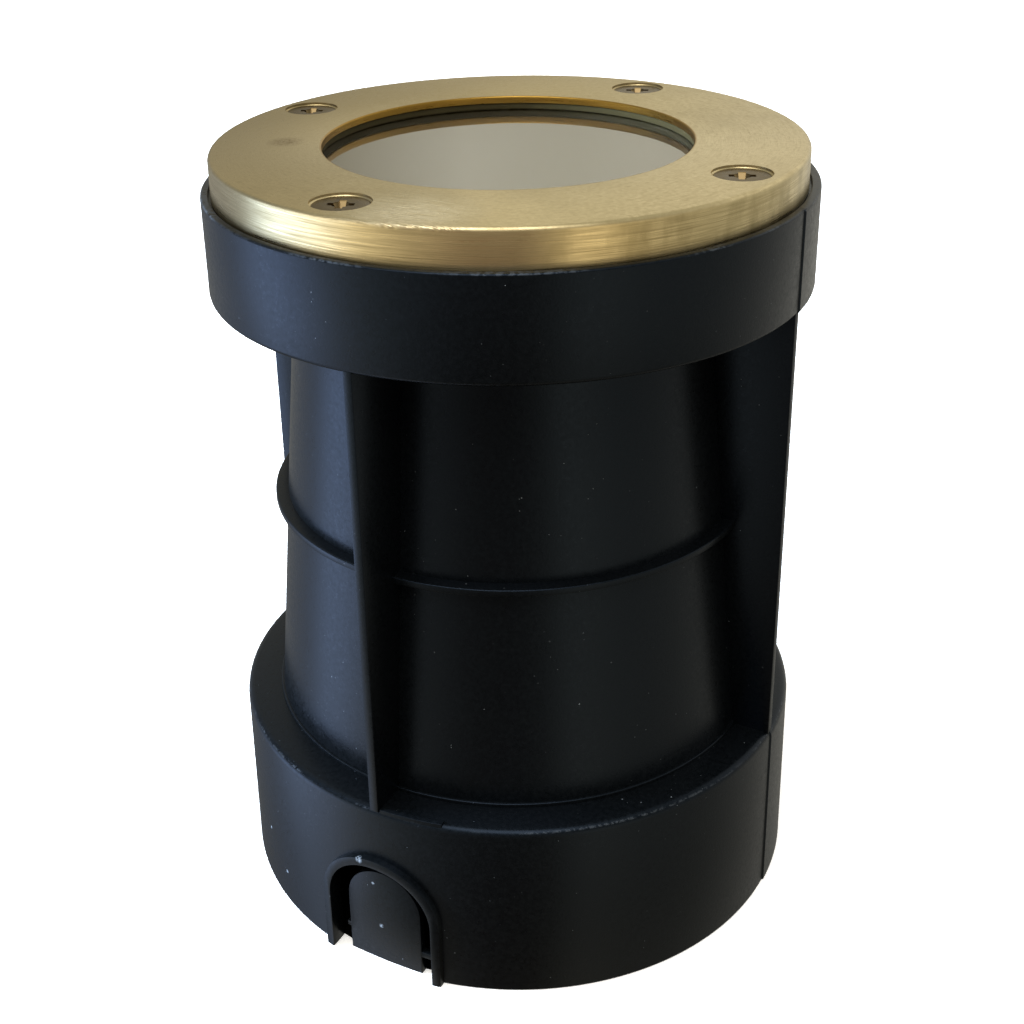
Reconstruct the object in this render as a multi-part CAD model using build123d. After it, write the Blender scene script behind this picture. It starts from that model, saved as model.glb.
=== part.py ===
"""In-ground well light: brass cover over a sealed lamp housing that drops into a moulded ground sleeve.

Millimetres, +Z up. The origin is on the sleeve's axis at ground end, one cable entry faces -Y.
"""
from build123d import *
import math
import os

# ---------------------------------------------------------------- ground sleeve
sleeve_height = 152.0        # ground end to collar rim
collar_height = 20.0
collar_lip = 1.5             # wall round the cover's nest
sleeve_wall = 2.2
skirt_height = 39.5
skirt_flare = 0.3            # the skirt is this much wider in radius at the ground
shoulder_width = 7.9         # skirt rim to foot of the tapered barrel
bead_proud = 0.5             # small step where the barrel stands on the shoulder
bead_height = 0.8
hoop_level = 86.5            # stiffening hoop halfway up the barrel
hoop_proud = 2.6
hoop_thick = 1.4
fin_count = 4
fin_thick = 2.0
fin_inset = 0.1              # fin edge inside the collar's radius
rim_round = 0.5
collar_foot_round = 1.0
skirt_rim_round = 1.5
moulding_bite = 0.8          # depth that ribs of the moulding run into its walls

# cable entries, each an arched hood over a break-out panel
entry_count = 2
hood_half_width = 13.7
hood_thick = 1.8
hood_centre_level = 14.1     # centre of the arch above the ground end
hood_proud = 1.5
panel_slot = 3.4
panel_recess = 1.3
panel_thick = 1.5
bridge_level = 6.0
bridge_height = 2.0

# ---------------------------------------------------------------- brass cover and lens
lip_thick = 1.5
lip_overlap = 5.9            # how far the brass lip covers the edge of the glass
cover_edge_round = 0.8
nest_depth = 0.8             # the cover sinks this far below the collar's rim
nest_gap = 0.5
seat_width = 2.0             # overlap of the cover on the collar's step
lens_seat_width = 4.0        # the glass rests this far out on the housing
lens_thick = 4.3
lens_edge_chamfer = 0.5
gasket_thick = 1.1
gasket_setback = 0.5         # upper gasket's edge behind the brass lip
gasket_gap = 0.2
screw_setback = 7.1          # lens pocket to screw circle
screw_edge_distance = 7.6    # screw circle to the cover's edge
cover_screw_count = 4
cover_screw_radius = 2.5
screw_tip_setback = 1.5      # screw tip above the end of its insert
screw_head_radius = 4.75
screw_head_sink = 0.5
screw_head_land = 0.2        # straight edge of the countersunk head
driver_slot_length = 5.2
driver_slot_width = 1.0
driver_slot_depth = 1.6

# ---------------------------------------------------------------- lamp housing
swivel_clearance = 4.48      # pivot heads to the housing's wall
housing_gap = 0.9            # housing to sleeve at the sleeve's neck
housing_wall = 2.4
housing_draft = 1.0          # radius lost from flange to floor
floor_thick = 3.0
flange_thick = 5.0
flange_gap = 0.6
boss_radius = 5.0
boss_web_thick = 3.0
insert_radius = 3.5
insert_length = 10.0
thread_gap = 0.05
pilot_extra = 1.0

# ---------------------------------------------------------------- cable gland
gland_offset = 21.0          # gland axis from the housing's axis
gland_thread_radius = 7.6
gland_bore_radius = 5.0
gland_hex_flats = 22.0
gland_hex_thick = 5.0
gland_washer_thick = 1.0
locknut_thick = 4.5
gland_barrel_radius = 8.5
gland_barrel_length = 9.0
gland_barrel_wall = 1.5
dome_nut_wall = 2.2
dome_nut_length = 17.5
dome_nut_flats = 23.0
cable_radius = 4.0
fit_gap = 0.1                # between pieces that are threaded or pressed together

# ---------------------------------------------------------------- swivelling yoke
yoke_thick = 1.5
yoke_width = 14.0
yoke_arm_width = 12.0
yoke_lift = 6.0              # height of the swivel boss above the floor
swivel_boss_radius = 6.0
swivel_screw_radius = 2.0
swivel_screw_length = 8.0
swivel_head_radius = 3.8
swivel_head_height = 2.6
wave_washer_thick = 0.6
running_gap = 0.06
tilt_axis_drop = 24.2        # tilt axis below the flange face
wiring_space = 5.4           # terminal block to the strap above it
block_length = 17.0
block_width = 12.0
block_height = 11.0
block_start = 9.5            # near end of the terminal block from the axis
block_pole_pitch = 8.0
clamp_screw_radius = 1.7

# ---------------------------------------------------------------- gimbal ring and socket
ring_wall = 1.8
ring_height = 8.0
ring_lip = 1.3
ring_lip_width = 2.5
trunnion_length = 2.3
trunnion_inset = 0.3         # trunnion within the ring's height, above and below
pivot_radius = 1.5
pivot_head_radius = 2.75
pivot_head_height = 1.5
pivot_length = 5.0
friction_washer_thick = 0.5
friction_washer_radius = 4.0
strap_width = 7.0
strap_thick = 1.2
strap_straight = 19.0        # straight run of the strap below the ring
socket_length = 16.0
socket_width = 12.0
socket_height = 11.0
socket_gap = 0.2             # lamp base to socket
rivet_radius = 1.0
rivet_head_radius = 1.8
rivet_pitch = 4.0
contact_wall = 0.55
lead_radius = 1.0
lead_drop = 5.0              # straight run of a lead under the socket
lead_swing = 7.5             # how far a lead passes beside the terminal block
lead_bend = 3.0

# ---------------------------------------------------------------- reflector lamp, 50 mm, two pins
lamp_radius = 25.35
lamp_rim_height = 4.5
lamp_rim_gap = 0.45          # lamp rim to gimbal ring
reflector_shoulder = 2.35    # step from the rim to the bowl
reflector_wall = 1.6
bowl_depth = 22.5
neck_radius = 9.0
front_glass_thick = 2.0
base_length = 17.0
base_width = 11.0
base_height = 10.5
pin_radius = 0.75
pin_length = 7.0
pin_pitch = 5.3
pin_play = 0.1
base_plug_length = 2.0       # the base's round plug in the bowl's neck
capsule_radius = 4.5
capsule_height = 15.0
capsule_tip_round = 4.0

# the housing and all it holds are turned a little in the sleeve
fixture_turn = -6.6

# ---------------------------------------------------------------- derived radii, from the lamp outwards
ring_bore_radius = lamp_radius + lamp_rim_gap
ring_outer_radius = ring_bore_radius + ring_wall
strap_path_radius = ring_outer_radius - ring_wall / 2
trunnion_face = ring_outer_radius + trunnion_length
yoke_half_span = trunnion_face + friction_washer_thick + running_gap
pivot_head_face = yoke_half_span + yoke_thick + running_gap
pivot_tip = pivot_head_face - pivot_length
housing_inner_radius = pivot_head_face + pivot_head_height + swivel_clearance
housing_radius = housing_inner_radius + housing_wall
housing_foot_radius = housing_radius - housing_draft

lens_radius = housing_inner_radius + lens_seat_width
lens_pocket_radius = lens_radius + gasket_gap + gasket_thick
cover_opening_radius = lens_radius - lip_overlap
screw_circle_radius = lens_pocket_radius + screw_setback
cover_radius = screw_circle_radius + screw_edge_distance
seat_radius = cover_radius - seat_width
flange_radius = seat_radius - flange_gap
nest_radius = cover_radius + nest_gap

collar_radius = nest_radius + collar_lip
skirt_foot_radius = collar_radius + skirt_flare
barrel_foot_radius = collar_radius - shoulder_width
neck_clear_radius = housing_radius + housing_gap
barrel_top_radius = neck_clear_radius + sleeve_wall

# ---------------------------------------------------------------- derived levels, from the cover down
collar_base = sleeve_height - collar_height
collar_floor = collar_base + sleeve_wall
seat_level = sleeve_height - nest_depth

lens_stack = lens_thick + 2 * gasket_thick
cover_thick = lip_thick + lens_stack
cover_top = seat_level + cover_thick
lens_bottom = seat_level + gasket_thick
lens_top = lens_bottom + lens_thick
head_top = cover_top - screw_head_sink
screw_tip = seat_level - insert_length + screw_tip_setback
head_cone_depth = screw_head_radius - cover_screw_radius
countersink_radius = screw_head_radius + screw_head_sink + screw_head_land + fit_gap
flange_under = seat_level - flange_thick
boss_bottom = seat_level - insert_length - 2 * pilot_extra

tilt_level = seat_level - tilt_axis_drop
ring_bottom = tilt_level - ring_height / 2
ring_top = tilt_level + ring_height / 2
lamp_seat = ring_bottom + ring_lip
lamp_front = lamp_seat + lamp_rim_height
bowl_bottom = lamp_seat - bowl_depth
base_bottom = bowl_bottom - base_height
pin_bottom = base_bottom - pin_length
socket_top = base_bottom - socket_gap
socket_bottom = socket_top - socket_height

yoke_base_top = socket_bottom - strap_thick - wiring_space - block_height
yoke_base = yoke_base_top - yoke_thick
swivel_head_bottom = yoke_base_top + wave_washer_thick
floor_top = yoke_base - yoke_lift
housing_bottom = floor_top - floor_thick

gland_hex_top = housing_bottom - gland_washer_thick
gland_hex_bottom = gland_hex_top - gland_hex_thick
locknut_top = floor_top + locknut_thick
dome_nut_top = gland_hex_bottom - fit_gap
dome_nut_bottom = dome_nut_top - dome_nut_length
barrel_bottom = gland_hex_bottom - gland_barrel_length
seal_radius = gland_barrel_radius - gland_barrel_wall
seal_taper = (seal_radius - cable_radius) / 3


# ---------------------------------------------------------------- helpers
def outline_xz(corners, rounds=()):
    """A face in the XZ plane from (radius, level) corners, with some of them rounded."""
    face = make_face(Polyline(*[(radius, 0, level) for radius, level in corners], close=True))
    for radius, level, size in rounds:
        corner = face.vertices().sort_by_distance((radius, 0, level))[0]
        face = fillet(corner, size)
    return face


def turned(corners, rounds=()):
    """A body of revolution about Z."""
    return revolve(outline_xz(corners, rounds), Axis.Z)


def ring(outer, inner, low, high):
    """A plain ring, or a disc where the inner radius is 0."""
    return turned([(inner, low), (outer, low), (outer, high), (inner, high)])


def rod(radius, low, high):
    return ring(radius, 0, low, high)


def block(x_size, y_size, low, high):
    """A box centred on the Z axis between two levels."""
    return Pos(0, 0, (low + high) / 2) * Box(x_size, y_size, high - low)


def hexagon(flats, low, high):
    return Pos(0, 0, low) * extrude(RegularPolygon(flats / 2, 6, major_radius=False), high - low)


def spaced(shape, count, start=0.0):
    """Copies of a shape evenly spaced about Z."""
    return [Rot(0, 0, start + 360 * i / count) * shape for i in range(count)]


def group(shapes):
    """Separate solids kept together as one set."""
    return Compound([solid for shape in shapes for solid in shape.solids()])


def along_x(shape, x_start):
    """A shape built up the Z axis, laid along +X from x_start at the tilt level."""
    return Pos(x_start, 0, tilt_level) * Rot(0, 90, 0) * shape


# ---------------------------------------------------------------- ground sleeve
def barrel_radius(level):
    share = (level - skirt_height) / (collar_base - skirt_height)
    return barrel_foot_radius + share * (barrel_top_radius - barrel_foot_radius)


def sleeve_shell():
    shoulder_under = skirt_height - sleeve_wall
    bead_radius = barrel_foot_radius + bead_proud
    bead_top = skirt_height + bead_height
    hoop_low = hoop_level - hoop_thick / 2
    hoop_high = hoop_level + hoop_thick / 2
    hoop_radius = barrel_radius(hoop_level) + hoop_proud
    outside = [
        (skirt_foot_radius, 0),
        (collar_radius, skirt_height),
        (bead_radius, skirt_height),
        (bead_radius, bead_top),
        (barrel_radius(bead_top), bead_top),
        (barrel_radius(hoop_low), hoop_low),
        (hoop_radius, hoop_low),
        (hoop_radius, hoop_high),
        (barrel_radius(hoop_high), hoop_high),
        (barrel_top_radius, collar_base),
        (collar_radius, collar_base),
        (collar_radius, sleeve_height),
    ]
    inside = [
        (nest_radius, sleeve_height),
        (nest_radius, seat_level),
        (seat_radius, seat_level),
        (seat_radius, collar_floor),
        (neck_clear_radius, collar_floor),
        (barrel_radius(shoulder_under) - sleeve_wall, shoulder_under),
        (collar_radius - sleeve_wall, shoulder_under),
        (skirt_foot_radius - sleeve_wall, 0),
    ]
    rounds = [
        (collar_radius, skirt_height, skirt_rim_round),
        (collar_radius, collar_base, collar_foot_round),
        (collar_radius, sleeve_height, rim_round),
    ]
    return turned(outside + inside, rounds)


def sleeve_fin():
    """One upright fin from the skirt's shoulder to the collar, standing out along +X."""
    fin_radius = collar_radius - fin_inset
    low = skirt_height - moulding_bite
    high = collar_base + moulding_bite
    face = outline_xz([
        (barrel_radius(low) - moulding_bite, low),
        (fin_radius, low),
        (fin_radius, high),
        (barrel_radius(high) - moulding_bite, high),
    ])
    return extrude(face, fin_thick / 2, both=True)


def arch(half_width):
    """An arched prism through the skirt on the -Y side."""
    face = Pos(0, hood_centre_level / 2) * Rectangle(2 * half_width, hood_centre_level)
    face += Pos(0, hood_centre_level) * Circle(half_width)
    reach = collar_radius + 2 * hood_proud + skirt_flare
    return extrude(Plane.XZ * face, reach)


def entry_opening():
    return arch(hood_half_width - hood_thick)


def entry_hood():
    """The arched rib around a cable entry and the thin panel bridged across it."""
    opening_half_width = hood_half_width - hood_thick
    arch_top = hood_centre_level + hood_half_width
    rib_band = ring(collar_radius + hood_proud, collar_radius - sleeve_wall, 0, arch_top)
    rib = (arch(hood_half_width) - arch(opening_half_width)) & rib_band

    panel_half_width = opening_half_width - panel_slot
    panel_face_radius = collar_radius - panel_recess
    panel_band = ring(panel_face_radius, panel_face_radius - panel_thick, 0, arch_top)
    bridge_span = 2 * (opening_half_width + moulding_bite)
    bridge_reach = 6 * panel_thick
    side_bridges = Pos(0, -panel_face_radius, bridge_level) * Box(
        bridge_span, bridge_reach, bridge_height)
    panel_top = hood_centre_level + panel_half_width
    top_bridge = Pos(0, -panel_face_radius, panel_top) * Box(
        bridge_height, bridge_reach, 2 * (panel_slot + moulding_bite))
    panel = (arch(panel_half_width) + side_bridges + top_bridge) & panel_band
    return rib + panel


def ground_sleeve():
    body = sleeve_shell()
    for fin in spaced(sleeve_fin(), fin_count):
        body += fin
    for opening in spaced(entry_opening(), entry_count):
        body -= opening
    for hood in spaced(entry_hood(), entry_count):
        body += hood
    return body


# ---------------------------------------------------------------- cover
def screw_places(shape):
    """Copies of a shape standing on the cover's screw circle."""
    return spaced(Pos(screw_circle_radius, 0, 0) * shape, cover_screw_count)


def cover_ring():
    lens_pocket_top = seat_level + lens_stack
    body = turned(
        [
            (lens_pocket_radius, seat_level),
            (cover_radius, seat_level),
            (cover_radius, cover_top),
            (cover_opening_radius, cover_top),
            (cover_opening_radius, lens_pocket_top),
            (lens_pocket_radius, lens_pocket_top),
        ],
        [
            (cover_radius, cover_top, cover_edge_round),
            (cover_opening_radius, cover_top, cover_edge_round / 2),
        ],
    )
    shank_radius = cover_screw_radius + fit_gap
    cone_end = cover_top - (countersink_radius - shank_radius)
    countersink = turned([
        (0, seat_level),
        (shank_radius, seat_level),
        (shank_radius, cone_end),
        (countersink_radius, cover_top),
        (0, cover_top),
    ])
    for hole in screw_places(countersink):
        body -= hole
    return body


def upper_lens_gasket():
    """L-section ring: a flange under the brass lip and a skirt round the glass."""
    return turned([
        (cover_opening_radius + gasket_setback, lens_top),
        (lens_radius + gasket_gap / 2, lens_top),
        (lens_radius + gasket_gap / 2, lens_bottom),
        (lens_pocket_radius - gasket_gap / 2, lens_bottom),
        (lens_pocket_radius - gasket_gap / 2, lens_top + gasket_thick),
        (cover_opening_radius + gasket_setback, lens_top + gasket_thick),
    ])


def glass_lens():
    edge = lens_edge_chamfer
    return turned([
        (0, lens_bottom),
        (lens_radius - edge, lens_bottom),
        (lens_radius, lens_bottom + edge),
        (lens_radius, lens_top - edge),
        (lens_radius - edge, lens_top),
        (0, lens_top),
    ])


def cover_screw():
    land_bottom = head_top - screw_head_land
    body = turned([
        (0, screw_tip),
        (cover_screw_radius, screw_tip),
        (cover_screw_radius, land_bottom - head_cone_depth),
        (screw_head_radius, land_bottom),
        (screw_head_radius, head_top),
        (0, head_top),
    ])
    slot = block(driver_slot_length, driver_slot_width, head_top - driver_slot_depth, head_top)
    return body - slot - Rot(0, 0, 90) * slot


def cover_screws():
    return group(screw_places(cover_screw()))


# ---------------------------------------------------------------- housing
def housing_can():
    inner_foot = housing_foot_radius - housing_wall
    body = turned([
        (0, housing_bottom),
        (housing_foot_radius, housing_bottom),
        (housing_radius, flange_under),
        (flange_radius, flange_under),
        (flange_radius, seat_level),
        (housing_inner_radius, seat_level),
        (inner_foot, floor_top),
        (0, floor_top),
    ])
    wall_middle = housing_radius - housing_wall / 2
    web_reach = screw_circle_radius - wall_middle
    web_low = boss_bottom + boss_radius
    web = Pos(-web_reach / 2, 0, 0) * block(web_reach, boss_web_thick, web_low, flange_under)
    boss = rod(boss_radius, boss_bottom, flange_under) + web
    for placed in screw_places(boss):
        body += placed
    hole = rod(insert_radius, seat_level - insert_length, seat_level)
    hole += rod(cover_screw_radius + fit_gap, seat_level - insert_length - pilot_extra, seat_level)
    for placed in screw_places(hole):
        body -= placed
    body += rod(swivel_boss_radius, floor_top - moulding_bite, yoke_base)
    body -= rod(swivel_screw_radius + fit_gap, yoke_base - swivel_screw_length, yoke_base)
    body -= Pos(0, gland_offset, 0) * rod(gland_thread_radius + fit_gap, housing_bottom, floor_top)
    return body


def cover_screw_inserts():
    sleeve = ring(insert_radius, cover_screw_radius + thread_gap,
                  seat_level - insert_length, seat_level)
    return group(screw_places(sleeve))


def lower_lens_gasket():
    return ring(lens_pocket_radius - gasket_gap, housing_inner_radius + gasket_setback,
                seat_level, lens_bottom)


def swivel_screw():
    shank_bottom = yoke_base - swivel_screw_length + fit_gap
    body = turned([
        (0, shank_bottom),
        (swivel_screw_radius, shank_bottom),
        (swivel_screw_radius, swivel_head_bottom),
        (swivel_head_radius, swivel_head_bottom),
        (swivel_head_radius, swivel_head_bottom + swivel_head_height),
        (0, swivel_head_bottom + swivel_head_height),
    ], [(swivel_head_radius, swivel_head_bottom + swivel_head_height, swivel_head_height / 2)])
    top = swivel_head_bottom + swivel_head_height
    slot = block(swivel_head_radius, driver_slot_width, top - driver_slot_width, top)
    return body - slot - Rot(0, 0, 90) * slot


def wave_washer():
    return ring(swivel_head_radius, swivel_screw_radius + fit_gap,
                yoke_base_top + running_gap, swivel_head_bottom)


# ---------------------------------------------------------------- cable gland
def at_gland(shape):
    return Pos(0, gland_offset, 0) * shape


def gland_body():
    body = hexagon(gland_hex_flats, gland_hex_bottom, gland_hex_top)
    body += rod(gland_thread_radius, gland_hex_top, locknut_top)
    body += rod(gland_barrel_radius, barrel_bottom, gland_hex_bottom)
    bore = rod(gland_bore_radius, gland_hex_bottom, locknut_top)
    seal_pocket = rod(seal_radius + fit_gap, barrel_bottom, gland_hex_bottom)
    return at_gland(body - bore - seal_pocket)


def gland_flange_washer():
    outer = gland_hex_flats / 2 - gland_washer_thick
    return at_gland(ring(outer, gland_thread_radius + fit_gap, gland_hex_top, housing_bottom))


def gland_locknut():
    nut = hexagon(gland_hex_flats, floor_top, locknut_top)
    return at_gland(nut - rod(gland_thread_radius + fit_gap, floor_top, locknut_top))


def gland_cable_seal():
    nose = barrel_bottom - seal_taper
    return at_gland(turned([
        (cable_radius, nose),
        (seal_radius - seal_taper, nose),
        (seal_radius, barrel_bottom),
        (seal_radius, gland_hex_bottom),
        (cable_radius, gland_hex_bottom),
    ]))


def gland_dome_nut():
    inner = gland_barrel_radius + fit_gap
    outer = inner + dome_nut_wall
    mouth = gland_bore_radius
    pocket_low = barrel_bottom - seal_taper - fit_gap
    hex_low = dome_nut_top - gland_hex_thick
    body = turned([
        (mouth, dome_nut_bottom),
        (outer, dome_nut_bottom),
        (outer, dome_nut_top),
        (inner, dome_nut_top),
        (inner, pocket_low),
        (mouth, pocket_low),
    ], [(outer, dome_nut_bottom, dome_nut_wall)])
    grip = hexagon(dome_nut_flats, hex_low, dome_nut_top) - rod(inner, hex_low, dome_nut_top)
    return at_gland(body + grip)


# ---------------------------------------------------------------- yoke and terminal block
def lamp_yoke():
    """A strip bent to a U: base on the swivel boss, two arms up to the tilt axis."""
    outer = yoke_half_span + yoke_thick
    base = block(2 * outer, yoke_width, yoke_base, yoke_base_top)
    base -= rod(swivel_screw_radius + running_gap, yoke_base, yoke_base_top)
    arm = Pos(yoke_half_span + yoke_thick / 2, 0, 0) * block(
        yoke_thick, yoke_arm_width, yoke_base, tilt_level)
    arm += along_x(rod(yoke_arm_width / 2, 0, yoke_thick), yoke_half_span)
    arm -= along_x(rod(pivot_radius + running_gap, 0, yoke_thick), yoke_half_span)
    body = base
    for side in spaced(arm, 2):
        body += side
    return body


def pole_offsets():
    middle = block_start + block_length / 2
    return [middle - block_pole_pitch / 2, middle + block_pole_pitch / 2]


def terminal_block():
    middle = block_start + block_length / 2
    body = Pos(middle, 0, 0) * block(block_length, block_width, yoke_base_top,
                                     yoke_base_top + block_height)
    entry_level = yoke_base_top + block_height / 2
    for x in pole_offsets():
        well = Pos(x, 0, 0) * rod(clamp_screw_radius + fit_gap, entry_level, yoke_base_top + block_height)
        wire_way = Pos(x, 0, entry_level) * Rot(90, 0, 0) * Cylinder(
            lead_radius + fit_gap, block_width)
        body -= well + wire_way
    return body


def clamp_screws():
    top = yoke_base_top + block_height
    low = yoke_base_top + block_height / 2 + lead_radius + fit_gap
    screw = rod(clamp_screw_radius, low, top - fit_gap)
    slot = block(2 * clamp_screw_radius, driver_slot_width / 2, top - driver_slot_width, top)
    return group(Pos(x, 0, 0) * (screw - slot) for x in pole_offsets())


# ---------------------------------------------------------------- gimbal ring and socket
def gimbal_ring():
    body = turned([
        (ring_bore_radius - ring_lip_width, ring_bottom),
        (ring_outer_radius, ring_bottom),
        (ring_outer_radius, ring_top),
        (ring_bore_radius, ring_top),
        (ring_bore_radius, lamp_seat),
        (ring_bore_radius - ring_lip_width, lamp_seat),
    ])
    reach = trunnion_face - strap_path_radius
    trunnion = along_x(rod(ring_height / 2 - trunnion_inset, 0, reach), strap_path_radius)
    pilot = along_x(rod(pivot_radius, 0, pivot_length), pivot_tip - fit_gap)
    for side in spaced(trunnion, 2):
        body += side
    for side in spaced(pilot, 2):
        body -= side
    return body


def pivot_screws():
    """Shoulder screws through the arms into the ring's trunnions."""
    shank = along_x(rod(pivot_radius, 0, pivot_length), pivot_tip)
    head = along_x(rod(pivot_head_radius, 0, pivot_head_height), pivot_head_face)
    slot_depth = pivot_head_height / 2
    slot = Pos(pivot_head_face + pivot_head_height - slot_depth / 2, 0, tilt_level) * Box(
        slot_depth, driver_slot_width, 2 * pivot_head_radius)
    return group(spaced(shank + head - slot, 2))


def friction_washers():
    washer = along_x(ring(friction_washer_radius, pivot_radius + fit_gap, 0, friction_washer_thick),
                     trunnion_face)
    return group(spaced(washer, 2))


def socket_strap():
    """A strip from the ring's underside, down past the bowl and under the socket."""
    half = strap_thick / 2
    knee_level = ring_bottom - strap_straight
    foot_half = socket_length / 2
    foot_level = socket_bottom - half
    path = FilletPolyline(
        (0, strap_path_radius, ring_bottom),
        (0, strap_path_radius, knee_level),
        (0, foot_half, foot_level),
        (0, -foot_half, foot_level),
        (0, -strap_path_radius, knee_level),
        (0, -strap_path_radius, ring_bottom),
        radius=strap_thick,
    )
    section = Pos(0, strap_path_radius, ring_bottom) * Rectangle(strap_width, strap_thick)
    body = sweep(section, path, transition=Transition.ROUND)
    for y in (-rivet_pitch, rivet_pitch):
        body -= Pos(0, y, 0) * rod(rivet_radius, socket_bottom - strap_thick, socket_bottom)
    return body


def lamp_socket():
    body = block(socket_length, socket_width, socket_bottom, socket_top)
    way = rod(pin_radius + pin_play + contact_wall, socket_top - pin_length - socket_gap, socket_top)
    for x in (-pin_pitch / 2, pin_pitch / 2):
        body -= Pos(x, 0, 0) * way
    for y in (-rivet_pitch, rivet_pitch):
        body -= Pos(0, y, 0) * rod(rivet_radius, socket_bottom, socket_bottom + 2 * rivet_radius)
    lead_way = rod(lead_radius, socket_bottom, socket_bottom + 2 * lead_radius)
    for x in lead_exits():
        body -= Pos(x, 0, 0) * lead_way
    return body


def lead_exits():
    outer = socket_length / 2 - 2 * lead_radius
    return [-outer, outer]


def socket_contacts():
    sleeve = ring(pin_radius + pin_play + contact_wall, pin_radius + pin_play,
                  socket_top - pin_length, socket_top - 2 * socket_gap)
    return group(Pos(x, 0, 0) * sleeve for x in (-pin_pitch / 2, pin_pitch / 2))


def socket_rivets():
    head = rod(rivet_head_radius, socket_bottom - strap_thick - rivet_radius / 2,
               socket_bottom - strap_thick)
    shank = rod(rivet_radius, socket_bottom - strap_thick, socket_bottom + 2 * rivet_radius)
    return group(Pos(0, y, 0) * (head + shank) for y in (-rivet_pitch, rivet_pitch))


def socket_lead(exit_x, pole_x, side):
    """A silicone lead from under the socket round one side of the terminal block to its pole."""
    start = socket_bottom + 2 * lead_radius
    entry_level = yoke_base_top + block_height / 2
    swing = side * (block_width / 2 + lead_swing)
    path = FilletPolyline(
        (exit_x, 0, start),
        (exit_x, 0, socket_bottom - lead_drop),
        (exit_x, swing, (socket_bottom + entry_level) / 2),
        (pole_x, swing, entry_level),
        (pole_x, 0, entry_level),
        radius=lead_bend,
    )
    section = Pos(exit_x, 0, start) * Circle(lead_radius)
    return sweep(section, path)


# ---------------------------------------------------------------- lamp
def bowl_radius(level, offset=0.0):
    """Radius of the parabolic bowl at a level."""
    share = (level - bowl_bottom) / bowl_depth
    top = lamp_radius - reflector_shoulder
    return neck_radius + (top - neck_radius) * math.sqrt(max(share, 0.0)) - offset


def lamp_reflector():
    """Pressed glass bowl with a rolled rim, open at the neck."""
    levels = [bowl_bottom + bowl_depth * share for share in (0.0, 0.08, 0.25, 0.5, 0.75, 1.0)]
    outside = Spline(*[(bowl_radius(z), 0, z) for z in levels])
    inside = Spline(*[(bowl_radius(z, reflector_wall), 0, z) for z in levels])
    glass_low = lamp_front - front_glass_thick
    inner_top = (bowl_radius(lamp_seat, reflector_wall), 0, lamp_seat)
    pocket = lamp_radius - reflector_wall
    walls = Polyline(
        (bowl_radius(lamp_seat), 0, lamp_seat),
        (lamp_radius, 0, lamp_seat),
        (lamp_radius, 0, lamp_front),
        (pocket, 0, lamp_front),
        (pocket, 0, glass_low),
        (inner_top[0], 0, glass_low),
        inner_top,
    )
    foot = Line((bowl_radius(bowl_bottom), 0, bowl_bottom),
                (bowl_radius(bowl_bottom, reflector_wall), 0, bowl_bottom))
    return revolve(make_face([outside, walls, inside, foot]), Axis.Z)


def lamp_front_glass():
    return ring(lamp_radius - reflector_wall - fit_gap, 0, lamp_front - front_glass_thick, lamp_front)


def lamp_base():
    """Ceramic foot cemented in the neck of the bowl."""
    plug_radius = neck_radius - reflector_wall - fit_gap
    body = block(base_length, base_width, base_bottom, bowl_bottom)
    body += rod(plug_radius, bowl_bottom, bowl_bottom + base_plug_length)
    for x in (-pin_pitch / 2, pin_pitch / 2):
        body -= Pos(x, 0, 0) * rod(pin_radius, base_bottom, base_bottom + pin_length / 2)
    return body


def lamp_pins():
    pin = rod(pin_radius, pin_bottom, base_bottom + pin_length / 2)
    return group(Pos(x, 0, 0) * pin for x in (-pin_pitch / 2, pin_pitch / 2))


def lamp_capsule():
    low = bowl_bottom + base_plug_length
    return turned([
        (0, low),
        (capsule_radius, low),
        (capsule_radius, low + capsule_height),
        (0, low + capsule_height),
    ], [(capsule_radius, low + capsule_height, capsule_tip_round)])


# ---------------------------------------------------------------- write every piece
def pieces():
    """Every piece by name; all but the sleeve turn with the fixture."""
    poles = pole_offsets()
    exits = lead_exits()
    fixture = {
        "cover_ring": cover_ring(),
        "upper_lens_gasket": upper_lens_gasket(),
        "glass_lens": glass_lens(),
        "cover_screws": cover_screws(),
        "housing_can": housing_can(),
        "cover_screw_inserts": cover_screw_inserts(),
        "lower_lens_gasket": lower_lens_gasket(),
        "swivel_screw": swivel_screw(),
        "wave_washer": wave_washer(),
        "gland_body": gland_body(),
        "gland_flange_washer": gland_flange_washer(),
        "gland_locknut": gland_locknut(),
        "gland_cable_seal": gland_cable_seal(),
        "gland_dome_nut": gland_dome_nut(),
        "lamp_yoke": lamp_yoke(),
        "terminal_block": terminal_block(),
        "clamp_screws": clamp_screws(),
        "gimbal_ring": gimbal_ring(),
        "pivot_screws": pivot_screws(),
        "friction_washers": friction_washers(),
        "socket_strap": socket_strap(),
        "lamp_socket": lamp_socket(),
        "socket_contacts": socket_contacts(),
        "socket_rivets": socket_rivets(),
        "socket_lead_near": socket_lead(exits[1], poles[0], -1),
        "socket_lead_far": socket_lead(exits[0], poles[1], 1),
        "lamp_reflector": lamp_reflector(),
        "lamp_front_glass": lamp_front_glass(),
        "lamp_capsule": lamp_capsule(),
        "lamp_base": lamp_base(),
        "lamp_pins": lamp_pins(),
    }
    named = {name: Rot(0, 0, fixture_turn) * shape for name, shape in fixture.items()}
    named["ground_sleeve"] = ground_sleeve()
    return named


os.makedirs("parts", exist_ok=True)
for name, shape in pieces().items():
    export_step(shape, f"parts/{name}.step")
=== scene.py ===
"""In-ground well light: brushed brass cover, coated lens and moulded ground sleeve."""

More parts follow.
